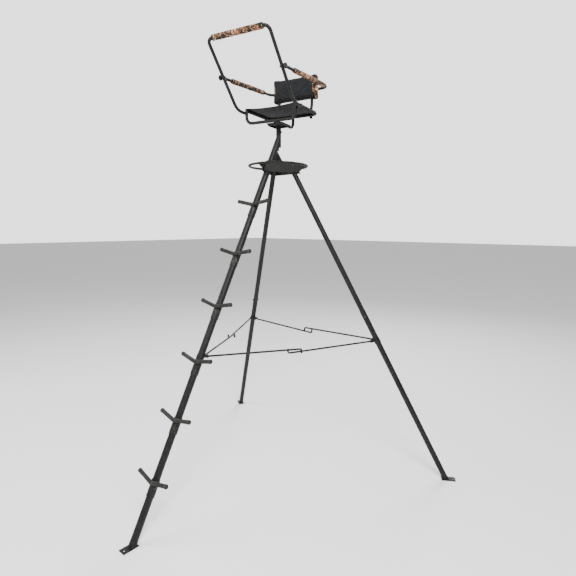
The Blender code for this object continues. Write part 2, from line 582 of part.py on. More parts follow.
def build_rail(seat):
    hinge = empty("rail_axis", (0, SEAT_FRONT_Y, RAIL_PIVOT_Z), seat)
    half = SEAT_TUBE_D / 2
    corners = [(-RAIL_ARM_X, RAIL_TAIL_Y, RAIL_PIVOT_Z), (-RAIL_ARM_X, RAIL_KNEE_Y, RAIL_PIVOT_Z),
               (-RAIL_ARM_X, RAIL_TOP_Y, RAIL_TOP_Z)]
    corners += [(-x, y, z) for x, y, z in reversed(corners)]
    bends = (RAIL_KNEE_BEND, RAIL_TOP_BEND, RAIL_TOP_BEND, RAIL_KNEE_BEND)
    rail = node("shooting_rail", tube(rounded(corners, bends), SEAT_TUBE_D, SEAT_TUBE_WALL), POWDER, hinge)
    for side in (-1, 1):
        through(rail, side * RAIL_ARM_X, SEAT_FRONT_Y, RAIL_PIVOT_Z, PIVOT_BOLT_D + 2 * GAP)
        through(rail, *knob_centre(side), KNOB_BOLT_D + 2 * GAP)
    finish(rail)
    run = [Vector((end * RAIL_PAD_HALF, RAIL_TOP_Y, RAIL_TOP_Z)) for end in (-1, 1)]
    wall = (RAIL_PAD_D - SEAT_TUBE_D) / 2 - PAD_FIT
    finish(node("rail_pad", tube(run, RAIL_PAD_D, wall), CAMO, hinge))
    for name, side in (("left", -1), ("right", 1)):
        across = Vector((side, 0, 0))
        spans = clamp_spans(SEAT_RAIL_X - half - GAP, RAIL_ARM_X + half + GAP, PIVOT_BOLT_D)
        spans.append((SEAT_RAIL_X + half + GAP, RAIL_ARM_X - half - GAP, PIVOT_BOLT_D * SPACER_RATIO, BAR_SIDES))
        finish(bolt(f"rail_bolt_{name}", Vector((0, SEAT_FRONT_Y, RAIL_PIVOT_Z)), across, spans, STEEL, seat))
        centre = knob_centre(side)
        turn = empty(f"knob_axis_{name}", centre - Vector((0, SEAT_FRONT_Y, RAIL_PIVOT_Z)), hinge)
        inside, grip = RAIL_ARM_X - half - GAP, ARMREST_X + KNOB_CLEAR
        spans = [(inside - BOLT_HEAD_T, grip + BOLT_HEAD_T, KNOB_BOLT_D, BAR_SIDES),
                 (inside - BOLT_HEAD_T, inside, KNOB_BOLT_D * BOLT_HEAD_RATIO, HEX),
                 (grip, grip + KNOB_T, KNOB_D, TUBE_SIDES)]
        knob = bolt(f"armrest_knob_{name}", Vector((0, centre.y, centre.z)), across, spans, PLASTIC, turn)
        knob.matrix_parent_inverse = Matrix.Translation(-centre)
        finish(knob)


def build_armrest(seat):
    lift = empty("armrest_axis", (0, ARMREST_REAR_Y, ARMREST_REAR_Z), seat)
    knob = knob_centre(1)
    front_z = knob.z + KNOB_BOLT_D / 2 + GAP
    corners = [(-ARMREST_X, ARMREST_FRONT_Y, front_z), (-ARMREST_X, ARMREST_REAR_Y, ARMREST_REAR_Z)]
    corners += [(-x, y, z) for x, y, z in reversed(corners)]
    frame = node("armrest_frame", tube(rounded(corners, ARMREST_BEND), ARMREST_D, SEAT_TUBE_WALL), POWDER, lift)
    for side in (-1, 1):
        x = side * ARMREST_X
        join(frame, block((x - TAB_T / 2, KNOB_Y - TAB_AHEAD, knob.z - TAB_BELOW),
                          (x + TAB_T / 2, ARMREST_FRONT_Y + TAB_BEHIND, knob.z + TAB_ABOVE)))
        rest = KNOB_BOLT_D / 2 + GAP
        cut(frame, block((x - TAB_T, KNOB_Y - 2 * TAB_AHEAD, knob.z - 2 * TAB_BELOW),
                         (x + TAB_T, KNOB_Y + rest + TAB_SLACK, knob.z + rest)))
    finish(frame)
    slope = Vector(corners[1]) - Vector(corners[0])
    for name, side in (("left", -1), ("right", 1)):
        ends = []
        for y in ARMREST_PAD_ENDS[name]:
            share = (y - ARMREST_FRONT_Y) / slope.y
            ends.append(Vector((side * ARMREST_X, y, front_z + slope.z * share)))
        wall = (ARMREST_PAD_D - ARMREST_D) / 2 - PAD_FIT
        finish(node(f"armrest_pad_{name}", tube(ends, ARMREST_PAD_D, wall), CAMO, lift))


def build_stand():
    build_ladder()
    build_hub()
    build_post()
    brace_bracket("a", LADDER_AZIMUTH, LADDER_D, (LEG_B_AZIMUTH, LEG_C_AZIMUTH))
    holders = {"a": None}
    for letter, azimuth, other in (("b", LEG_B_AZIMUTH, LEG_C_AZIMUTH), ("c", LEG_C_AZIMUTH, LEG_B_AZIMUTH)):
        holders[letter] = empty(f"leg_{letter}_axis", on_leg(azimuth, LEG_PIVOT_Z))
        rear_leg(letter, azimuth, holders[letter], side_normal(azimuth))
        brace_bracket(letter, azimuth, LEG_LOWER_D, (LADDER_AZIMUTH, other), holders[letter])
    azimuths = {"a": LADDER_AZIMUTH, "b": LEG_B_AZIMUTH, "c": LEG_C_AZIMUTH}
    for first, second in (("a", "b"), ("a", "c"), ("c", "b")):
        for here, there, stub in ((first, second, -1), (second, first, 1)):
            start, along, _, _ = brace_frame(azimuths[here], azimuths[there])
            parent = holders[here]
            at = start + along * BRACE_EAR_REACH
            turn = empty(f"brace_{here}{there}_axis", at - (parent.matrix_basis.translation if parent else Vector()),
                         parent)
            made = brace_rod(f"brace_{here}_to_{there}", azimuths[here], azimuths[there], 1, stub, turn)
            made.matrix_parent_inverse = Matrix.Translation(-at)
    seat = empty("seat_axis", POST, yaw=SEAT_YAW)
    build_swivel(seat)
    build_frame(seat)
    build_back(seat)
    build_rail(seat)
    build_armrest(seat)


build_stand()
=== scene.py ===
"""Looks of the tripod hunting stand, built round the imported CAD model."""

import json
import math
import random

import bmesh
import bpy
from mathutils import Matrix, Vector, noise
from mathutils.bvhtree import BVHTree


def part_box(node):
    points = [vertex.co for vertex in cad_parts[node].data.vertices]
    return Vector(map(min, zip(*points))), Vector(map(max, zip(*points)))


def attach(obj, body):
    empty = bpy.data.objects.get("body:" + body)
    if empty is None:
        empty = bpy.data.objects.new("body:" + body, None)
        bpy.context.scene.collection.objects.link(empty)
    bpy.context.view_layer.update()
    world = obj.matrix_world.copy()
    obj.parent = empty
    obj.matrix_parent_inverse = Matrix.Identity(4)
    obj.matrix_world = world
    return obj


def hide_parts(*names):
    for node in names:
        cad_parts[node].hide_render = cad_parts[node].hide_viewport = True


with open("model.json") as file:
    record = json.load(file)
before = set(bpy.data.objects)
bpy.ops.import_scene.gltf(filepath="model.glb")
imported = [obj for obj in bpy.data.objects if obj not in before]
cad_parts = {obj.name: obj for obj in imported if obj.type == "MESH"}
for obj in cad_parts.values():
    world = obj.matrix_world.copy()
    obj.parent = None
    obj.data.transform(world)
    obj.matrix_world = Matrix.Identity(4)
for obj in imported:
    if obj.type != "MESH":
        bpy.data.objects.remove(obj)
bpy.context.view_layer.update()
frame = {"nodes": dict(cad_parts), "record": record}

UP = Vector((0, 0, 1))
JOINTS = {joint["name"]: joint for joint in frame["record"]["behaviour"]["joints"]}
POST = Vector(JOINTS["seat_swivel"]["pos_m"])
SIDE = Vector(JOINTS["rail_flip"]["axis"])
SEAT = Matrix.Translation((POST.x, POST.y, 0)) @ Matrix.Rotation(math.atan2(SIDE.y, SIDE.x), 4, "Z")
RING_LOW, RING_HIGH = (Vector(corner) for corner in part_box("foot_ring"))
HUB = Vector(((RING_LOW.x + RING_HIGH.x) / 2, (RING_LOW.y + RING_HIGH.y) / 2, 0))

# Sizes shared with the CAD model, metres, in the seat's axes where they are on the seat.
FOOT_RADIUS, LEAN_SLOPE = 1.5285, 0.5166
STEP_COUNT, STEP_FIRST_Z, STEP_RISE = 6, 0.388, 0.4004
STEP_BAR_D, STEP_HALF_SPAN, STEP_TIP_RISE, STEP_OUTSET = 0.032, 0.170, 0.033, 0.035
SLEEVE_D, LADDER_D, LEG_LOWER_D = 0.0626, 0.0550, 0.0490
SEAT_TUBE_D, SEAT_RAIL_X, SEAT_FRONT_Y, SEAT_REAR_Y, SEAT_FRAME_Z = 0.0270, 0.241, -0.132, 0.262, 3.210
RAIL_TOP_Y, RAIL_TOP_Z, RAIL_PAD_HALF, RAIL_PAD_D = -0.609, 3.633, 0.226, 0.046
ARMREST_X, ARMREST_PAD_D = 0.2885, 0.042
ARMREST_PAD_ENDS = {"left": (-0.275, 0.222), "right": (-0.260, 0.300)}
ARMREST_FRONT_Y, ARMREST_FRONT_Z, ARMREST_RISE = -0.385, 3.41464, 0.06143
BACK_HALF_W, BACK_FRONT_Y, BACK_REAR_Y, BACK_LOW_Z, BACK_HIGH_Z = 0.228, 0.266, 0.350, 3.350, 3.566
BACK_POST_X, BACK_POST_LOW_Z = 0.168, 3.190
RAIL_ARM_X, RAIL_TAIL_Y, RAIL_PIVOT_Z = 0.2714, -0.108, 3.198
SWIVEL_SIDE, SWIVEL_PLATE_LOW_Z = 0.150, 3.096
KNOB_Y, KNOB_Z, KNOB_BACK_X = -0.4150, 3.41034, 0.2925

# Sizes of the added details, metres.
CAP_OVER, CAP_FIT, CAP_SIDES, WELD_STEPS = 0.0014, 0.0003, 22, 22
WELD_WAVER, STITCH_RADIUS, STITCH_LIFT = 0.0003, 0.00045, 0.0004
FERRULE_TOP_Z, FERRULE_LOW_Z, FERRULE_OVER, FERRULE_T, FERRULE_SIDES = 0.036, 0.0052, 0.0012, 0.0016, 32
SKIRT_CORNER, SKIRT_OVER, SKIRT_BELOW_TOP, SKIRT_CORNER_STEPS = 0.016, 0.0018, 0.0030, 6
SLEEVE_CELL, SLEEVE_FIT, SLEEVE_BORE_FIT, SLEEVE_SIDES = 0.0055, 0.0006, 0.0005, 36
SLEEVE_BAND_IN, SEAM_PITCH, SEAM_INSET, SEAM_ROWS = 0.010, 0.0062, 0.02, (-0.16, 0.22)
CUSHION_EDGE_INSET, CUSHION_FACE_INSET, CUSHION_CORNER, CUSHION_END = 0.002, 0.008, 0.018, 0.011
CUSHION_VOXEL, CUSHION_PRESSURE, CUSHION_TRAVEL, CLOTH_FRAMES = 0.005, 4.0, 0.011, 20
RIM_CORNER, RIM_STEP, RIM_OFF_FACE = 0.020, 0.006, 0.004
SLING_T, SLING_SAG, SLING_DIP, SLING_FRONT_OVER, SLING_REAR_OVER = 0.0022, 0.016, 0.010, 0.006, 0.010
SLING_ACROSS, SLING_ALONG, SLING_EDGE_POWER = 60, 44, 2.4
HEM_T, HEM_STEPS, HEM_ARC_STEPS, HEM_START, HEM_REAR_SHORT = 0.0010, 26, 14, 0.030, 0.050

# The camera that was fitted to the photograph, and the studio.
CAMERA_FROM_HUB = Vector((2.702661, -2.999714, 2.228042))
CAMERA_RIGHT, CAMERA_UP = Vector((0.757278, 0.653084, 0.003211)), Vector((-0.091097, 0.100759, 0.990732))
CAMERA_LENS, CAMERA_SENSOR = 28.1466, 36.0
GLOW_WAY = (-0.653, 0.757, 0.0)
GLOW_RANGE = {"From Min": 0.45, "From Max": 0.80, "To Min": 0.42, "To Max": 2.3}
LAMP_AIM = Vector((0, 0, 2.2))
LAMPS = (("key", (4.2, -3.6, 6.5), 2.5, 900), ("fill", (-4.0, -4.5, 5.5), 4.0, 420),
         ("rim", (-1.5, 5.5, 6.5), 3.0, 420))
FLOOR_SIZE, FLOOR_DROP = 60, 0.0005


# Node materials ----------------------------------------------------------------------------------
class Graph:
    """A material's node tree, with short calls for the nodes used here."""

    def __init__(self, name):
        self.material = bpy.data.materials.new(name)
        self.material.use_nodes = True
        self.tree = self.material.node_tree
        self.shader = self.tree.nodes["Principled BSDF"]
        self.place = self.add("ShaderNodeTexCoord").outputs["Object"]

    def add(self, kind, inputs=None, **settings):
        made = self.tree.nodes.new(kind)
        for key, value in settings.items():
            setattr(made, key, value)
        for key, value in (inputs or {}).items():
            self.feed(made.inputs[key], value)
        return made

    def feed(self, socket, value):
        if isinstance(value, bpy.types.NodeSocket):
            self.tree.links.new(value, socket)
        else:
            socket.default_value = value

    def noise(self, scale, detail=3.0, distortion=0.0, place=None, rough=0.5):
        inputs = {"Vector": place or self.place, "Scale": scale, "Detail": detail, "Distortion": distortion,
                  "Roughness": rough}
        return self.add("ShaderNodeTexNoise", inputs).outputs["Fac"]

    def math(self, operation, first, second=0.0, third=0.0):
        made = self.add("ShaderNodeMath", operation=operation)
        for index, value in enumerate((first, second, third)):
            self.feed(made.inputs[index], value)
        return made.outputs[0]

    def stretch(self, scale, offset=(0, 0, 0)):
        inputs = {"Vector": self.place, "Scale": scale, "Location": offset}
        return self.add("ShaderNodeMapping", inputs).outputs[0]

    def ramp(self, value, stops, interpolation="LINEAR"):
        made = self.add("ShaderNodeValToRGB", {"Fac": value})
        made.color_ramp.interpolation = interpolation
        elements = made.color_ramp.elements
        while len(elements) < len(stops):
            elements.new(0.5)
        for element, (position, colour) in zip(elements, stops):
            element.position = position
            element.color = (*colour, 1.0) if hasattr(colour, "__len__") else (colour, colour, colour, 1.0)
        return made.outputs["Color"]

    def mix(self, factor, first, second, blend="MIX"):
        made = self.add("ShaderNodeMix", data_type="RGBA", blend_type=blend)
        for socket, value in ((made.inputs[0], factor), (made.inputs[6], first), (made.inputs[7], second)):
            if hasattr(value, "__len__") and not isinstance(value, bpy.types.NodeSocket):
                value = (*value, 1.0)
            self.feed(socket, value)
        return made.outputs[2]

    def bump(self, height, distance, strength=1.0, under=None):
        made = self.add("ShaderNodeBump", {"Height": height, "Distance": distance, "Strength": strength})
        if under:
            self.feed(made.inputs["Normal"], under)
        return made.outputs["Normal"]

    def finish(self, **inputs):
        for key, value in inputs.items():
            name = key.replace("_", " ")
            if isinstance(value, tuple) and len(value) == 3:
                value = (*value, 1.0)
            self.feed(self.shader.inputs[name], value)
        return self.material

    def weave(self, pitch):
        """Crossing threads of a plain weave along the object's axes, 0 to 1."""
        parts = self.add("ShaderNodeSeparateXYZ", {"Vector": self.place})
        turn = 2 * math.pi / pitch
        waves = [self.math("SINE", self.math("MULTIPLY", parts.outputs[axis], turn)) for axis in "XYZ"]
        crossed = self.math("MULTIPLY", self.math("ADD", waves[0], waves[1]), 0.25)
        return self.math("ADD", self.math("ADD", crossed, self.math("MULTIPLY", waves[2], 0.25)), 0.5)


def powder_coat(name, wear):
    """Matte black powder coat: fine orange peel, dusty patches and worn spots down to grey primer."""
    g = Graph(name)
    cloud = g.noise(6.0, 4.0)
    colour = g.ramp(cloud, [(0.3, (0.0050, 0.0050, 0.0048)), (0.7, (0.0095, 0.0092, 0.0085))])
    dust = g.ramp(g.noise(30.0, 5.0, 0.6), [(0.52, 0.0), (0.80, 0.30)])
    colour = g.mix(dust, colour, (0.030, 0.027, 0.022))
    streaks = g.noise(90.0, 6.0, 1.4, g.stretch((1.0, 1.0, 0.35)))
    scuffs = g.ramp(streaks, [(0.62 - 0.08 * wear, 0.0), (0.70, wear)])
    colour = g.mix(scuffs, colour, (0.085, 0.080, 0.070))
    rough = g.math("MULTIPLY_ADD", g.noise(55.0, 4.0), 0.22, 0.40)
    peel = g.bump(g.noise(620.0, 2.0), 0.00035, 0.55)
    dents = g.bump(g.noise(24.0, 2.0), 0.0008, 0.25, peel)
    return g.finish(Base_Color=colour, Roughness=rough, Metallic=0.0, Normal=dents, Specular_IOR_Level=0.20)


def blackened_steel(name):
    """Black-oxide hardware: dark metal with oily variation and worn, brighter spots."""
    g = Graph(name)
    tone = g.ramp(g.noise(70.0, 5.0), [(0.3, (0.030, 0.030, 0.031)), (0.7, (0.085, 0.083, 0.080))])
    worn = g.ramp(g.noise(240.0, 4.0, 0.5), [(0.60, 0.0), (0.74, 0.7)])
    colour = g.mix(worn, tone, (0.20, 0.185, 0.165))
    brushed = g.noise(300.0, 3.0, 0.0, g.stretch((1.0, 1.0, 12.0)))
    return g.finish(Base_Color=colour, Roughness=g.math("MULTIPLY_ADD", brushed, 0.25, 0.30), Metallic=1.0,
                    Normal=g.bump(brushed, 0.0001, 0.4))


def plastic(name, colour, grain=700.0):
    """Moulded plastic or rubber with a fine grain."""
    g = Graph(name)
    darker, lighter = (tuple(c * share for c in colour) for share in (0.75, 1.35))
    tone = g.ramp(g.noise(18.0, 3.0), [(0.3, darker), (0.7, lighter)])
    return g.finish(Base_Color=tone, Roughness=g.math("MULTIPLY_ADD", g.noise(80.0, 3.0), 0.2, 0.42),
                    Normal=g.bump(g.noise(grain, 2.0), 0.00025, 0.5), Specular_IOR_Level=0.25)


def nylon(name, low, high, pitch=0.0016, fold=0.0015):
    """Woven nylon: threads, faded patches and soft creases."""
    g = Graph(name)
    weave = g.weave(pitch)
    colour = g.ramp(g.noise(14.0, 4.0, 0.3), [(0.3, low), (0.72, high)])
    colour = g.mix(g.math("MULTIPLY", weave, 0.35), colour, tuple(c * 1.8 for c in high))
    lint = g.ramp(g.noise(420.0, 3.0), [(0.66, 0.0), (0.80, 0.30)])
    colour = g.mix(lint, colour, (0.040, 0.038, 0.034))
    creases = g.bump(g.noise(26.0, 3.0, 0.8), fold, 0.35)
    return g.finish(Base_Color=colour, Roughness=g.math("MULTIPLY_ADD", g.noise(60.0), 0.15, 0.70),
                    Normal=g.bump(weave, 0.0004, 0.8, creases), Sheen_Weight=0.04, Sheen_Roughness=0.5,
                    Specular_IOR_Level=0.15)


def camouflage(name):
    """Autumn woodland print on brushed cloth: tan ground, brown and rust leaves, dark gaps, pale stems."""
    g = Graph(name)
    warp = g.add("ShaderNodeVectorMath", operation="MULTIPLY_ADD")
    shift = g.add("ShaderNodeTexNoise", {"Vector": g.place, "Scale": 26.0, "Detail": 4.0}).outputs["Color"]
    g.feed(warp.inputs[0], shift)
    warp.inputs[1].default_value = (0.030, 0.030, 0.030)
    g.feed(warp.inputs[2], g.place)
    bent = warp.outputs[0]
    ground = g.ramp(g.noise(17.0, 5.0, 0.4), [(0.36, (0.045, 0.022, 0.011)), (0.50, (0.185, 0.088, 0.044)),
                                              (0.68, (0.43, 0.215, 0.110))])
    cells = g.add("ShaderNodeTexVoronoi", {"Vector": bent, "Scale": 27.0, "Randomness": 1.0})
    leaf = g.ramp(cells.outputs["Distance"], [(0.40, 1.0), (0.46, 0.0)])
    tint = g.add("ShaderNodeSeparateColor", {"Color": cells.outputs["Color"]})
    leaf_colour = g.ramp(tint.outputs[0], [(0.0, (0.028, 0.016, 0.010)), (0.26, (0.31, 0.115, 0.052)),
                                           (0.46, (0.120, 0.055, 0.026)), (0.62, (0.50, 0.31, 0.20)),
                                           (0.80, (0.018, 0.012, 0.008))], "CONSTANT")
    colour = g.mix(leaf, ground, leaf_colour)
    dark = g.ramp(g.noise(24.0, 4.0, 0.7, bent), [(0.520, 0.0), (0.550, 1.0)])
    colour = g.mix(dark, colour, (0.012, 0.009, 0.007))
    stems = g.noise(46.0, 3.0, 1.2, g.stretch((1.0, 0.5, 1.0), (3.1, 0.7, 1.9)))
    pale = g.ramp(stems, [(0.625, 0.0), (0.65, 1.0)])
    colour = g.mix(pale, colour, (0.62, 0.43, 0.28))
    weave = g.weave(0.0013)
    colour = g.mix(g.math("MULTIPLY", weave, 0.22), colour, (0.62, 0.50, 0.40), "MULTIPLY")
    fold = g.bump(g.noise(34.0, 3.0, 0.7), 0.0016, 0.4)
    return g.finish(Base_Color=colour, Roughness=0.82, Normal=g.bump(weave, 0.00035, 0.7, fold),
                    Sheen_Weight=0.06, Sheen_Roughness=0.5, Specular_IOR_Level=0.2)


POWDER = powder_coat("powder_coat_detail", 0.35)
STEP_POWDER = powder_coat("powder_coat_steps", 0.8)
STEEL = blackened_steel("blackened_steel_detail")
BLACK_PLASTIC = plastic("plastic_detail", (0.013, 0.013, 0.013))
RUBBER = plastic("rubber_cap_detail", (0.020, 0.020, 0.019), 420.0)
NYLON = nylon("nylon_detail", (0.0045, 0.0048, 0.0055), (0.0100, 0.0105, 0.0120))
WEBBING = nylon("webbing_detail", (0.005, 0.005, 0.005), (0.011, 0.011, 0.011), 0.0022, 0.0003)
THREAD = plastic("thread_detail", (0.045, 0.042, 0.038), 1600.0)
CAMO = camouflage("camouflage_detail")

FINISHES = {"powder_coat_black": POWDER, "blackened_steel": STEEL, "black_plastic": BLACK_PLASTIC,
            "black_fabric": NYLON, "camo_fabric": CAMO}
SLOTS = {entry["node"]: entry["material_slot"] for entry in frame["record"]["subparts"]}
for name, node in frame["nodes"].items():
    look = STEP_POWDER if name.startswith("ladder_step") else FINISHES[SLOTS[name]]
    for place in node.material_slots:
        place.material = look


# Mesh helpers ------------------------------------------------------------------------------------
def linked(name, shape, own=None):
    """A named object in the scene from a bmesh, moved from its own axes to the row frame."""
    mesh = bpy.data.meshes.new(name)
    shape.to_mesh(mesh)
    shape.free()
    if own is not None:
        mesh.transform(own)
    made = bpy.data.objects.new(name, mesh)
    bpy.context.collection.objects.link(made)
    return made


def piece(name, shape, look, body, own=SEAT):
    """A smooth-shaded named object with one material, riding on a body."""
    made = linked(name, shape, own)
    made.data.materials.append(look)
    for face in made.data.polygons:
        face.use_smooth = True
    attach(made, body)
    return made


def subdivide(made):
    step = made.modifiers.new("subdivide", "SUBSURF")
    step.levels = step.render_levels = 1
    return made


def frames(path, closed=False):
    """A side vector and tangent for each point of a path, without twist."""
    count = len(path)
    tangents = []
    for index in range(count):
        before = path[index - 1] if (index or closed) else path[0]
        after = path[(index + 1) % count] if (index < count - 1 or closed) else path[-1]
        tangents.append((after - before).normalized())
    side = tangents[0].orthogonal().normalized()
    result = []
    for tangent in tangents:
        side = (side - tangent * side.dot(tangent)).normalized()
        result.append((side.copy(), tangent.cross(side)))
    return result


def skin(shape, first, second):
    """Quads between two closed loops of vertices."""
    for k in range(len(first)):
        after = (k + 1) % len(first)
        shape.faces.new((first[k], first[after], second[after], second[k]))


def panel_faces(shape, rows):
    """Quads over an open grid of vertices."""
    for row, following in zip(rows, rows[1:]):
        for k in range(len(row) - 1):
            shape.faces.new((row[k], row[k + 1], following[k + 1], following[k]))


def sweep(shape, path, radius, sides, closed=False, ends=True):
    """A round section along a path; radius is a number or a call of (share along, angle)."""
    size = radius if callable(radius) else (lambda share, angle: radius)
    count = len(path)
    loops = []
    for index, (point, (side, other)) in enumerate(zip(path, frames(path, closed))):
        loop = []
        for k in range(sides):
            angle = 2 * math.pi * k / sides
            reach = size(index / max(count - 1, 1), angle)
            loop.append(shape.verts.new(point + (side * math.cos(angle) + other * math.sin(angle)) * reach))
        loops.append(loop)
    pairs = list(zip(loops, loops[1:])) + ([(loops[-1], loops[0])] if closed else [])
    for first, second in pairs:
        skin(shape, first, second)
    if ends and not closed:
        shape.faces.new(reversed(loops[0]))
        shape.faces.new(loops[-1])
    return loops


def turned(shape, base, axis, profile, sides, lobes=None):
    """A turned form: profile gives (along, radius) pairs, closed on the axis where the radius is 0."""
    axis = Vector(axis).normalized()
    side = axis.orthogonal().normalized()
    other = axis.cross(side)
    loops = []
    for along, radius in profile:
        centre = Vector(base) + axis * along
        if radius == 0:
            loops.append([shape.verts.new(centre)])
            continue
        loop = []
        for k in range(sides):
            angle = 2 * math.pi * k / sides
            reach = radius * (lobes(angle) if lobes else 1.0)
            loop.append(shape.verts.new(centre + (side * math.cos(angle) + other * math.sin(angle)) * reach))
        loops.append(loop)
    for first, second in zip(loops, loops[1:]):
        for k in range(sides):
            after = (k + 1) % sides
            if len(first) == 1:
                shape.faces.new((first[0], second[k], second[after]))
            elif len(second) == 1:
                shape.faces.new((first[k], second[0], first[after]))
            else:
                shape.faces.new((first[k], second[k], second[after], first[after]))
    bmesh.ops.recalc_face_normals(shape, faces=shape.faces)


def on_leg(azimuth, height):
    """The point of a leg's axis at a height."""
    out = Vector((math.cos(math.radians(azimuth)), math.sin(math.radians(azimuth)), 0))
    return HUB + out * (FOOT_RADIUS - LEAN_SLOPE * height) + UP * height


def stitch(shape, point, reach, lift):
    """One thread stitch, arched over the cloth."""
    path = [point - reach, point - reach * 0.4 + lift, point + reach * 0.4 + lift, point + reach]
    sweep(shape, path, STITCH_RADIUS, 5)


def weld(name, path, seed, size, swell, rate, look, body):
    """A closed weld bead whose thickness swells and wavers along its path."""
    bead = bmesh.new()
    draw = random.Random(seed)
    sizes = [size + swell * math.sin(k * rate) + draw.uniform(-WELD_WAVER, WELD_WAVER)
             for k in range(len(path))]
    sweep(bead, path, lambda share, angle: sizes[round(share * (len(path) - 1))], 7, closed=True)
    piece(name, bead, look, body, None)


# Steps: end caps and welds -----------------------------------------------------------------------
LADDER_UP = (on_leg(-90, 1) - on_leg(-90, 0)).normalized()
LADDER_OUT = Vector((1, 0, 0)).cross(LADDER_UP)
LADDER_OUT = LADDER_OUT if LADDER_OUT.y < 0 else -LADDER_OUT


def step_details(number):
    """Moulded caps on a step's ends and the bead where its bar meets the sleeve."""
    centre = on_leg(-90, STEP_FIRST_Z + STEP_RISE * (number - 1))
    middle = centre + LADDER_OUT * STEP_OUTSET
    caps = bmesh.new()
    for side in (-1, 1):
        tip = middle + Vector((side * STEP_HALF_SPAN, 0, 0)) + LADDER_UP * STEP_TIP_RISE
        way = (tip - middle).normalized()
        outer, inner = STEP_BAR_D / 2 + CAP_OVER, STEP_BAR_D / 2 + CAP_FIT
        profile = [(0.0006, 0), (0.0006, inner), (-0.0150, inner), (-0.0158, inner + 0.0004),
                   (-0.0154, outer - 0.0002), (-0.0146, outer), (-0.0040, outer), (-0.0030, outer - 0.0005),
                   (-0.0022, outer), (0.0010, outer - 0.0010), (0.0030, outer - 0.0040), (0.0038, 0)]
        turned(caps, tip, way, profile, CAP_SIDES)
    piece(f"step_{number}_end_caps", caps, RUBBER, "stand", None)
    limit = math.acos((SLEEVE_D / 2 - STEP_OUTSET) / (STEP_BAR_D / 2))
    angles = [limit + (2 * math.pi - 2 * limit) * k / WELD_STEPS for k in range(WELD_STEPS + 1)]
    loop = []
    for sign, order in ((1, angles), (-1, angles[-2:0:-1])):
        for angle in order:
            out = STEP_OUTSET + STEP_BAR_D / 2 * math.cos(angle)
            across = sign * math.sqrt(max((SLEEVE_D / 2) ** 2 - out ** 2, 0.0))
            lift = STEP_BAR_D / 2 * math.sin(angle) + abs(across) * STEP_TIP_RISE / STEP_HALF_SPAN
            loop.append(centre + LADDER_OUT * out + LADDER_UP * lift + Vector((across, 0, 0)))
    weld(f"step_{number}_weld", loop, 100 + number, 0.0024, 0.0005, 2.1, STEP_POWDER, "stand")


for step_number in range(1, STEP_COUNT + 1):
    step_details(step_number)


# Fittings ----------------------------------------------------------------------------------------
LEGS = {"stand": (-90, LADDER_D), "leg_b": (150, LEG_LOWER_D), "leg_c": (30, LEG_LOWER_D)}


def end_plug(name, at, way, diameter, body):
    """A moulded plug pushed into an open tube."""
    plug = bmesh.new()
    radius = diameter / 2
    profile = [(0.0002, 0), (0.0002, radius - 0.0004), (0.0016, radius), (0.0028, radius - 0.0006),
               (0.0038, radius - 0.0030), (0.0040, radius * 0.4), (0.0034, 0)]
    turned(plug, at, way, profile, CAP_SIDES)
    piece(name, plug, RUBBER, body)


def knob_grip(hand, sign):
    """A moulded grip with finger lobes over the clamping knob."""
    grip = bmesh.new()
    profile = [(-0.0004, 0), (-0.0004, 0.0188), (0.0015, 0.0200), (0.0060, 0.0203), (0.0130, 0.0200),
               (0.0155, 0.0190), (0.0168, 0.0150), (0.0172, 0.0078), (0.0160, 0.0062), (0.0160, 0)]
    turned(grip, (sign * KNOB_BACK_X, KNOB_Y, KNOB_Z), (sign, 0, 0), profile, 56,
           lambda angle: 1.0 + 0.045 * math.cos(7 * angle))
    subdivide(piece(f"armrest_knob_grip_{hand}", grip, BLACK_PLASTIC, f"knob_{hand}"))


def foot_ferrule(body, azimuth, diameter):
    """A welded skirt from the leg's square end down to its plate, and the bead round its foot."""
    up = (on_leg(azimuth, 1) - on_leg(azimuth, 0)).normalized()
    out = Vector((math.cos(math.radians(azimuth)), math.sin(math.radians(azimuth)), 0))
    side = UP.cross(out)
    radius = diameter / 2 + FERRULE_OVER
    tilt = side.cross(up)
    centre = on_leg(azimuth, FERRULE_TOP_Z)
    skirt = bmesh.new()
    rings = []
    for level in range(4):
        loop = []
        for k in range(FERRULE_SIDES):
            angle = 2 * math.pi * k / FERRULE_SIDES
            top = centre + (side * math.cos(angle) + tilt * math.sin(angle)) * radius
            foot = top - up * ((top.z - FERRULE_LOW_Z) / up.z)
            loop.append(top.lerp(foot, level / 3))
        rings.append([skirt.verts.new(point) for point in loop])
    bead_path = [point + UP * 0.0008 for point in loop]
    inner = [skirt.verts.new(vert.co - (vert.co - centre).normalized() * FERRULE_T) for vert in rings[0]]
    for first, second in zip([inner] + rings, rings):
        skin(skirt, first, second)
    bmesh.ops.recalc_face_normals(skirt, faces=skirt.faces)
    piece(f"foot_ferrule_{body}", skirt, POWDER, body, None)
    weld(f"foot_weld_{body}", bead_path, round(azimuth), 0.0030, 0.0006, 2.3, POWDER, body)


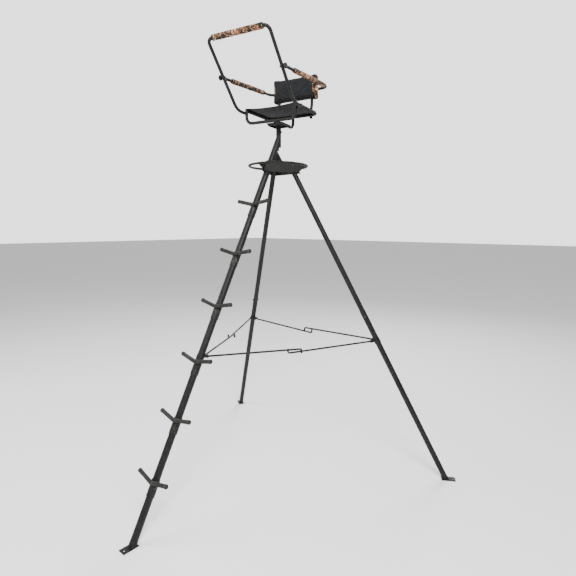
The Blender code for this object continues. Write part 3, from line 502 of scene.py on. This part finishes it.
def swivel_pan():
    """The turned-down skirt of the pressed swivel plate, with rounded corners and a rolled lower edge."""
    pan = bmesh.new()
    levels = ((0.0, 0.0000), (-0.003, 0.0012), (-0.010, -0.0010), (-0.018, -0.0060), (-0.0205, -0.0074),
              (-0.0208, -0.0088), (-0.0195, -0.0094), (-0.010, -0.0040), (-0.0005, -0.0016))
    loops = []
    for drop, swell in levels:
        loop = []
        for cx, cy, start in ((1, 1, 0), (-1, 1, 90), (-1, -1, 180), (1, -1, 270)):
            for k in range(SKIRT_CORNER_STEPS):
                angle = math.radians(start + 90 * k / (SKIRT_CORNER_STEPS - 1))
                reach = SWIVEL_SIDE / 2 + SKIRT_OVER + swell - SKIRT_CORNER
                x = cx * reach + SKIRT_CORNER * math.cos(angle)
                y = cy * reach + SKIRT_CORNER * math.sin(angle)
                loop.append(pan.verts.new((x, y, SWIVEL_PLATE_LOW_Z + SKIRT_BELOW_TOP + drop)))
        loops.append(loop)
    for first, second in zip(loops, loops[1:] + loops[:1]):
        skin(pan, first, second)
    bmesh.ops.recalc_face_normals(pan, faces=pan.faces)
    piece("swivel_plate_skirt", pan, POWDER, "seat")


swivel_pan()
for hand, sign in (("left", -1), ("right", 1)):
    end_plug(f"backrest_post_plug_{hand}", (sign * BACK_POST_X, SEAT_REAR_Y + SEAT_TUBE_D, BACK_POST_LOW_Z),
             (0, 0, -1), SEAT_TUBE_D, "seat")
    end_plug(f"rail_tail_plug_{hand}", (sign * RAIL_ARM_X, RAIL_TAIL_Y, RAIL_PIVOT_Z), (0, 1, 0), SEAT_TUBE_D,
             "shooting_rail")
    knob_grip(hand, sign)
for leg_body, (leg_azimuth, leg_diameter) in LEGS.items():
    foot_ferrule(leg_body, leg_azimuth, leg_diameter)


# Foam sleeves ------------------------------------------------------------------------------------
def sleeve(name, start, end, diameter, body, replaced, seed, seam_way):
    """A cloth-covered foam tube: soft lumps, a sewn closing seam and gathered, bound ends."""
    start, end = Vector(start), Vector(end)
    length = (end - start).length
    count = max(24, round(length / SLEEVE_CELL))
    path = [start.lerp(end, k / (count - 1)) for k in range(count)]
    side, other = frames(path)[0]
    seam = math.atan2(Vector(seam_way).dot(other), Vector(seam_way).dot(side))
    base = diameter / 2 - SLEEVE_FIT
    along = (end - start).normalized()

    def radius(share, angle):
        """Distance from the axis to the cloth."""
        near = min(share, 1 - share) * length
        gather = 1.0 - 0.16 * math.exp(-((near / 0.010) ** 2))
        spot = Vector((share * length * 18 + seed, math.cos(angle) * 1.1, math.sin(angle) * 1.1))
        lump = noise.noise(spot) * 0.0017 + noise.noise(spot * 2.7) * 0.0007
        pucker = 0.0007 * math.sin(angle * 11 + seed) * math.exp(-near / 0.022)
        gap = (angle - seam + math.pi) % (2 * math.pi) - math.pi
        groove = -0.0019 * math.exp(-((gap / 0.13) ** 2)) + 0.0010 * math.exp(-(((gap - 0.30) / 0.16) ** 2))
        return base * gather + lump + pucker + groove

    shape = bmesh.new()
    loops = sweep(shape, path, radius, SLEEVE_SIDES, ends=False)
    bore = SEAT_TUBE_D / 2 + SLEEVE_BORE_FIT
    for loop, point in ((loops[0], path[0]), (loops[-1], path[-1])):
        lip = [shape.verts.new(point + (vert.co - point).normalized() * bore) for vert in loop]
        skin(shape, loop, lip)
    bmesh.ops.recalc_face_normals(shape, faces=shape.faces)
    made = subdivide(piece(name, shape, CAMO, body))
    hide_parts(replaced)
    bands = bmesh.new()
    for at in (SLEEVE_BAND_IN, length - SLEEVE_BAND_IN):
        band = base * 0.93
        profile = [(-0.006, band - 0.0015), (-0.0062, band + 0.0011), (-0.0048, band + 0.0017),
                   (0.0048, band + 0.0017), (0.0062, band + 0.0011), (0.006, band - 0.0015)]
        turned(bands, start.lerp(end, at / length), along, profile, SLEEVE_SIDES)
    piece(name + "_end_bands", bands, WEBBING, body)
    stitches = bmesh.new()
    for k in range(int((length - 2 * SEAM_INSET) / SEAM_PITCH)):
        share = (SEAM_INSET + k * SEAM_PITCH) / length
        for offset in SEAM_ROWS:
            angle = seam + offset
            way = side * math.cos(angle) + other * math.sin(angle)
            point = start.lerp(end, share) + way * (radius(share, angle) + 0.0001)
            stitch(stitches, point, along * 0.0019, way * STITCH_LIFT)
    piece(name + "_stitching", stitches, THREAD, body)


sleeve("rail_sleeve", (-RAIL_PAD_HALF, RAIL_TOP_Y, RAIL_TOP_Z), (RAIL_PAD_HALF, RAIL_TOP_Y, RAIL_TOP_Z),
       RAIL_PAD_D, "shooting_rail", "rail_pad", 3.0, (0, 0.4, -0.9))
for hand, sign in (("left", -1), ("right", 1)):
    ends = [(sign * ARMREST_X, y, ARMREST_FRONT_Z + (y - ARMREST_FRONT_Y) * ARMREST_RISE)
            for y in ARMREST_PAD_ENDS[hand]]
    sleeve(f"armrest_sleeve_{hand}", *ends, ARMREST_PAD_D, "armrests", f"armrest_pad_{hand}", 7.0 + sign,
           (0, 0, -1))


# Backrest ----------------------------------------------------------------------------------------
def soft_block(low, high, corner):
    """A block with rounded edges and corners."""
    low, high = Vector(low), Vector(high)
    shape = bmesh.new()
    bmesh.ops.create_cube(shape, size=1.0)
    bmesh.ops.scale(shape, vec=high - low, verts=shape.verts)
    bmesh.ops.translate(shape, vec=(low + high) / 2, verts=shape.verts)
    bmesh.ops.bevel(shape, geom=shape.edges[:], offset=corner, segments=4, profile=0.5, affect="EDGES")
    return shape


def inflate(made, voxel, pressure, cap):
    """Swells a closed mesh like stuffed cloth: voxel remesh, pressure, and a cap on each point's travel."""
    remesh = made.modifiers.new("remesh", "REMESH")
    remesh.mode, remesh.voxel_size = "VOXEL", voxel
    bake(made)
    before = [vert.co.copy() for vert in made.data.vertices]
    cloth = made.modifiers.new("cloth", "CLOTH")
    cloth.settings.use_pressure = True
    cloth.settings.uniform_pressure_force = pressure
    cloth.settings.effector_weights.gravity = 0.0
    cloth.settings.quality = 6
    cloth.settings.mass = 0.3
    cloth.point_cache.frame_start, cloth.point_cache.frame_end = 1, CLOTH_FRAMES
    for number in range(1, CLOTH_FRAMES + 1):
        bpy.context.scene.frame_set(number)
    bake(made)
    bpy.context.scene.frame_set(1)
    for vert, old in zip(made.data.vertices, before):
        move = vert.co - old
        if move.length > cap:
            vert.co = old + move.normalized() * cap


def bake(made):
    """Applies every modifier of an object to its mesh."""
    bpy.context.view_layer.update()
    result = bpy.data.meshes.new_from_object(made.evaluated_get(bpy.context.evaluated_depsgraph_get()))
    made.modifiers.clear()
    old, made.data = made.data, result
    result.name = made.name
    bpy.data.meshes.remove(old)


def build_backrest():
    """The stuffed backrest with drag folds, camouflage ends and back, piping and stitching."""
    inset = CUSHION_EDGE_INSET
    low = (-BACK_HALF_W + inset, BACK_FRONT_Y + CUSHION_FACE_INSET, BACK_LOW_Z + inset)
    high = (BACK_HALF_W - inset, BACK_REAR_Y - CUSHION_FACE_INSET, BACK_HIGH_Z - inset)
    made = linked("backrest_cushion", soft_block(low, high, CUSHION_CORNER))
    inflate(made, CUSHION_VOXEL, CUSHION_PRESSURE, CUSHION_TRAVEL)
    mesh = made.data
    mid_z = (BACK_LOW_Z + BACK_HIGH_Z) / 2
    half_z = (BACK_HIGH_Z - BACK_LOW_Z) / 2
    mesh.materials.clear()
    mesh.materials.append(NYLON)
    mesh.materials.append(CAMO)
    # Soft diagonal drag lines towards the lower corner, and a slack lower edge.
    folds = [((0.07, -0.055), 0.62, 0.0042, 0.008, 0.10), ((0.12, -0.035), 0.78, 0.0036, 0.007, 0.08),
             ((0.03, -0.070), 0.45, 0.0030, 0.008, 0.09), ((-0.10, -0.050), -0.55, 0.0026, 0.009, 0.08),
             ((0.15, 0.030), 1.05, 0.0024, 0.008, 0.07), ((-0.15, 0.045), -0.9, 0.0020, 0.009, 0.06)]
    for vert in mesh.vertices:
        x, z = vert.co.x, vert.co.z - mid_z
        facing = -vert.normal.y
        if facing > 0.35:
            for (fx, fz), turn, depth, width, reach in folds:
                along = (x - fx) * math.cos(turn) + (z - fz) * math.sin(turn)
                across = -(x - fx) * math.sin(turn) + (z - fz) * math.cos(turn)
                ridge = math.exp(-((across / width) ** 2))
                valley = math.exp(-(((across - 1.8 * width) / width) ** 2))
                vert.co.y -= depth * (ridge - 0.7 * valley) * math.exp(-((along / reach) ** 2)) * facing
        spot = Vector((x * 11, vert.co.y * 11, z * 11))
        vert.co += vert.normal * noise.noise(spot) * 0.0016
    for face in mesh.polygons:
        end_panel = abs(face.normal.x) > 0.60 or abs(face.center.x) > BACK_HALF_W - CUSHION_END
        face.material_index = 1 if end_panel or face.normal.y > 0.55 else 0
        face.use_smooth = True
    tree = BVHTree.FromPolygons([v.co for v in mesh.vertices], [p.vertices for p in mesh.polygons])

    def rim(edge, y):
        """A rounded rectangle, edge inside the cushion's outline, dropped onto its surface."""
        corner = RIM_CORNER
        hx, hz = BACK_HALF_W - edge, half_z - edge
        points = []
        for cx, cz, start in ((hx - corner, hz - corner, 0), (-hx + corner, hz - corner, 90),
                              (-hx + corner, -hz + corner, 180), (hx - corner, -hz + corner, 270)):
            for k in range(7):
                angle = math.radians(start + 15 * k)
                z = mid_z + cz + corner * math.sin(angle)
                points.append(Vector((cx + corner * math.cos(angle), y, z)))
        dense = []
        for first, second in zip(points, points[1:] + points[:1]):
            steps = max(1, round((second - first).length / RIM_STEP))
            dense += [first.lerp(second, k / steps) for k in range(steps)]
        dropped = []
        for point in dense:
            found, normal, _, _ = tree.find_nearest(point)
            dropped.append((found, normal))
        return dropped

    trims = bmesh.new()
    front, rear = BACK_FRONT_Y - RIM_OFF_FACE, BACK_REAR_Y + RIM_OFF_FACE
    for edge, y, size in ((0.014, front, 0.0030), (0.010, rear, 0.0026)):
        path = [found + normal * 0.0008 for found, normal in rim(edge, y)]
        sweep(trims, path, size, 9, closed=True)
    piece("backrest_piping", trims, WEBBING, "seat")
    stitches = bmesh.new()
    for edge, y in ((0.0215, front), (0.0175, rear)):
        path = rim(edge, y)
        for (here, normal), (there, other_normal) in zip(path, path[1:]):
            point = (here + there) / 2 + (normal + other_normal) / 2 * 0.0002
            stitch(stitches, point, (there - here) * 0.32, (normal + other_normal).normalized() * STITCH_LIFT)
    piece("backrest_stitching", stitches, THREAD, "seat")
    mesh.transform(SEAT)
    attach(made, "seat")
    subdivide(made)
    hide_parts("backrest_pad")


build_backrest()


# Seat sling --------------------------------------------------------------------------------------
def build_sling():
    """A sewn panel stretched between the side tubes, sagging a little towards its free front edge."""
    half_tube = SEAT_TUBE_D / 2
    top = SEAT_FRAME_Z + half_tube + 0.0012
    front, rear = SEAT_FRONT_Y - SLING_FRONT_OVER, SEAT_REAR_Y + SLING_REAR_OVER
    bend, bend_y = 0.045, SEAT_REAR_Y - 0.045

    def corner_inset(y):
        """How far the panel draws in to follow the frame's rounded rear corners."""
        past = min(max((y - bend_y) / (bend + 0.012), 0.0), 1.0)
        return bend * (1 - math.sqrt(max(1 - past * past, 0.0)))

    shape = bmesh.new()
    grid = []
    for j in range(SLING_ALONG + 1):
        share = j / SLING_ALONG
        y = front + (rear - front) * share
        row = []
        for k in range(SLING_ACROSS + 1):
            u = 2 * k / SLING_ACROSS - 1
            x = u * (SEAT_RAIL_X + half_tube * 0.55 - corner_inset(y))
            slack = SLING_SAG * (1 - share) ** 0.6 + SLING_DIP * math.sin(math.pi * min(share * 1.05, 1))
            drop = slack * max(0.0, 1 - abs(u) ** SLING_EDGE_POWER)
            ripple = 0.0012 * math.sin(x * 92 + 3 * share) * math.exp(-((share / 0.35) ** 2)) * (1 - u * u)
            soft = noise.noise(Vector((x * 9, y * 9, 0.3))) * 0.0012 * (1 - u * u)
            row.append(shape.verts.new((x, y, top - drop + ripple + soft)))
        grid.append(row)
    panel_faces(shape, grid)
    panel = piece("seat_sling_cloth", shape, NYLON, "seat")
    thick = panel.modifiers.new("thickness", "SOLIDIFY")
    thick.thickness, thick.offset = SLING_T, 1.0
    subdivide(panel)
    hem_front, hem_rear = SEAT_FRONT_Y + HEM_START, SEAT_REAR_Y - HEM_REAR_SHORT
    hems = bmesh.new()
    for side in (-1, 1):
        rows = []
        for j in range(HEM_STEPS + 1):
            y = hem_front + (hem_rear - hem_front) * j / HEM_STEPS
            row = []
            for k in range(HEM_ARC_STEPS + 1):
                angle = math.radians(68 - 250 * k / HEM_ARC_STEPS)
                reach = half_tube + 0.0013 + 0.0002 * math.sin(j * 1.7 + k)
                row.append(hems.verts.new((side * (SEAT_RAIL_X + reach * math.cos(angle)), y,
                                           SEAT_FRAME_Z + reach * math.sin(angle))))
            rows.append(row)
        panel_faces(hems, rows)
    bmesh.ops.recalc_face_normals(hems, faces=hems.faces)
    hem = piece("seat_sling_hems", hems, NYLON, "seat")
    cloth = hem.modifiers.new("thickness", "SOLIDIFY")
    cloth.thickness, cloth.offset = HEM_T, 0.0
    band = bmesh.new()
    edge = []
    for k in range(41):
        u = 2 * k / 40 - 1
        sag = SLING_SAG * max(0.0, 1 - abs(u) ** SLING_EDGE_POWER)
        edge.append(Vector((u * (SEAT_RAIL_X + half_tube * 0.5), front, top + 0.001 - sag)))
    sweep(band, edge, 0.0031, 9)
    piece("seat_sling_front_binding", band, WEBBING, "seat")
    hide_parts("seat_sling")


build_sling()


# Stage, light and camera -------------------------------------------------------------------------
def build_floor():
    shape = bmesh.new()
    bmesh.ops.create_grid(shape, x_segments=1, y_segments=1, size=FLOOR_SIZE)
    floor = linked("floor", shape)
    floor.location = (0, 0, -FLOOR_DROP)
    g = Graph("floor_white")
    floor.data.materials.append(g.finish(Base_Color=(0.93, 0.93, 0.93), Roughness=0.9))


def build_world():
    """A white studio, brightest behind the stand as the camera sees it."""
    world = bpy.data.worlds.new("studio")
    bpy.context.scene.world = world
    world.use_nodes = True
    tree = world.node_tree
    way = tree.nodes.new("ShaderNodeVectorMath")
    way.operation = "DOT_PRODUCT"
    tree.links.new(tree.nodes.new("ShaderNodeTexCoord").outputs["Generated"], way.inputs[0])
    way.inputs[1].default_value = GLOW_WAY
    glow = tree.nodes.new("ShaderNodeMapRange")
    glow.interpolation_type = "SMOOTHSTEP"
    tree.links.new(way.outputs["Value"], glow.inputs["Value"])
    for key, value in GLOW_RANGE.items():
        glow.inputs[key].default_value = value
    tree.links.new(glow.outputs["Result"], tree.nodes["Background"].inputs["Strength"])
    tree.nodes["Background"].inputs["Color"].default_value = (1.0, 1.0, 1.0, 1.0)


def build_lamps():
    for name, place, size, power in LAMPS:
        data = bpy.data.lights.new(name, "AREA")
        data.energy, data.size = power, size
        lamp = bpy.data.objects.new(name, data)
        bpy.context.collection.objects.link(lamp)
        lamp.location = place
        lamp.rotation_euler = (LAMP_AIM - Vector(place)).to_track_quat("-Z", "Y").to_euler()


def build_camera():
    """The photograph's viewpoint."""
    data = bpy.data.cameras.new("camera")
    data.lens, data.sensor_width = CAMERA_LENS, CAMERA_SENSOR
    camera = bpy.data.objects.new("camera", data)
    bpy.context.collection.objects.link(camera)
    right = CAMERA_RIGHT.normalized()
    up = (CAMERA_UP - right * CAMERA_UP.dot(right)).normalized()
    turn = Matrix((right, up, right.cross(up))).transposed().to_4x4()
    camera.matrix_world = Matrix.Translation(HUB + CAMERA_FROM_HUB) @ turn
    bpy.context.scene.camera = camera


build_floor()
build_world()
build_lamps()
build_camera()
